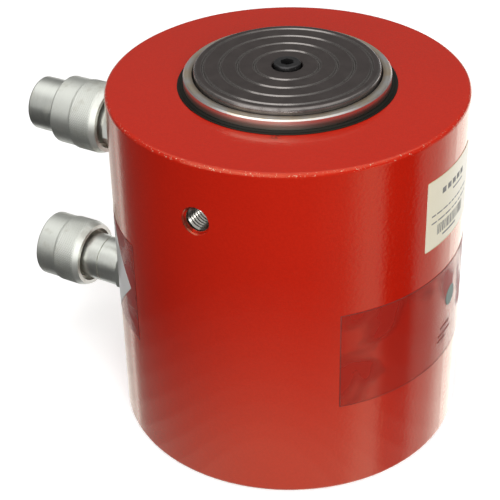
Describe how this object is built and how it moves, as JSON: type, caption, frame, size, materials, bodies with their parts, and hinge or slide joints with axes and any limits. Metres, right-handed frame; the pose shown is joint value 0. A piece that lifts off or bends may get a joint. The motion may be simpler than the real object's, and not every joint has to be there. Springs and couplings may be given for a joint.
{
  "type": "hydraulic cylinder",
  "caption": "Short double-acting hydraulic cylinder with a thick painted body, a flat grooved saddle on its plunger and two screw couplings at one side.",
  "frame": {"origin": "centre of the flat base, on the cylinder's axis", "axes": "+Z is the lifting direction along the cylinder's axis, the couplings point along -X, and the two lifting-eye holes face -Y and +Y"},
  "size_m": [0.2407, 0.176, 0.1937],
  "materials": {
    "red_enamel": "glossy red enamel with light orange peel",
    "ground_steel": "ground and plated, bright",
    "machined_steel": "turned",
    "phosphated_steel": "dark phosphate, satin, worn at the edges",
    "black_steel": "black oxide",
    "plated_steel": "satin nickel plate",
    "spring_steel": "bright wire",
    "bronze": "bronze-filled bearing strip",
    "nitrile": "moulded rubber",
    "polyurethane": "moulded polyurethane",
    "ptfe": "waxy white",
    "cream_label": "printed cream film, satin",
    "clear_film": "clear adhesive film",
    "grey_label": "plain pale vinyl"
  },
  "bodies": {
    "cylinder": {"cylinder_body": "red_enamel", "base_cap": "black_steel", "base_seal": "nitrile", "base_backup_ring": "ptfe", "guide_ring": "bronze", "rod_seal": "polyurethane", "rod_backup_ring": "ptfe", "wiper_seal": "nitrile", "nameplate": "cream_label", "clear_film": "clear_film", "side_film": "clear_film", "diamond_label": "grey_label", "advance_coupling_body": "plated_steel", "advance_nose": "plated_steel", "advance_thread_seal": "nitrile", "advance_mouth_seal": "nitrile", "advance_spring": "spring_steel", "retract_coupling_body": "plated_steel", "retract_nose": "plated_steel", "retract_thread_seal": "nitrile", "retract_mouth_seal": "nitrile", "retract_spring": "spring_steel"},
    "plunger": {"plunger": "ground_steel", "piston": "machined_steel", "piston_seal": "polyurethane", "piston_guide_ring_lower": "bronze", "piston_guide_ring_upper": "bronze", "piston_o_ring": "nitrile", "piston_nut": "black_steel", "nut_lock_screw": "black_steel", "saddle": "phosphated_steel", "saddle_screw": "black_steel"},
    "advance_sleeve_ring": {"advance_sleeve_ring": "spring_steel"},
    "advance_sleeve": {"advance_sleeve": "plated_steel"},
    "advance_poppet": {"advance_poppet": "machined_steel"},
    "retract_sleeve_ring": {"retract_sleeve_ring": "spring_steel"},
    "retract_sleeve": {"retract_sleeve": "plated_steel"},
    "retract_poppet": {"retract_poppet": "machined_steel"}
  },
  "joints": [
    {"name": "plunger_stroke", "type": "slide", "parent": "cylinder", "child": "plunger", "axis": [0, 0, 1], "range_m": [0, 0.05]},
    {"name": "advance_sleeve_slide", "type": "slide", "parent": "cylinder", "child": "advance_sleeve_ring", "axis": [-1, 0, 0], "range_m": [-0.022, 0]},
    {"name": "advance_sleeve_spin", "type": "hinge", "parent": "advance_sleeve_ring", "child": "advance_sleeve", "pos_m": [-0.1308, 0, 0.0455], "axis": [-1, 0, 0], "continuous": true},
    {"name": "advance_poppet_lift", "type": "slide", "parent": "cylinder", "child": "advance_poppet", "axis": [1, 0, 0], "range_m": [0, 0.003], "stiffness_N_per_m": 600, "springref_m": -0.005, "deforming": ["advance_spring"]},
    {"name": "retract_sleeve_slide", "type": "slide", "parent": "cylinder", "child": "retract_sleeve_ring", "axis": [-1, 0, 0], "range_m": [-0.002, 0.02]},
    {"name": "retract_sleeve_spin", "type": "hinge", "parent": "retract_sleeve_ring", "child": "retract_sleeve", "pos_m": [-0.1108, 0, 0.1365], "axis": [-1, 0, 0], "continuous": true},
    {"name": "retract_poppet_lift", "type": "slide", "parent": "cylinder", "child": "retract_poppet", "axis": [1, 0, 0], "range_m": [0, 0.003], "stiffness_N_per_m": 600, "springref_m": -0.005, "deforming": ["retract_spring"]}
  ]
}
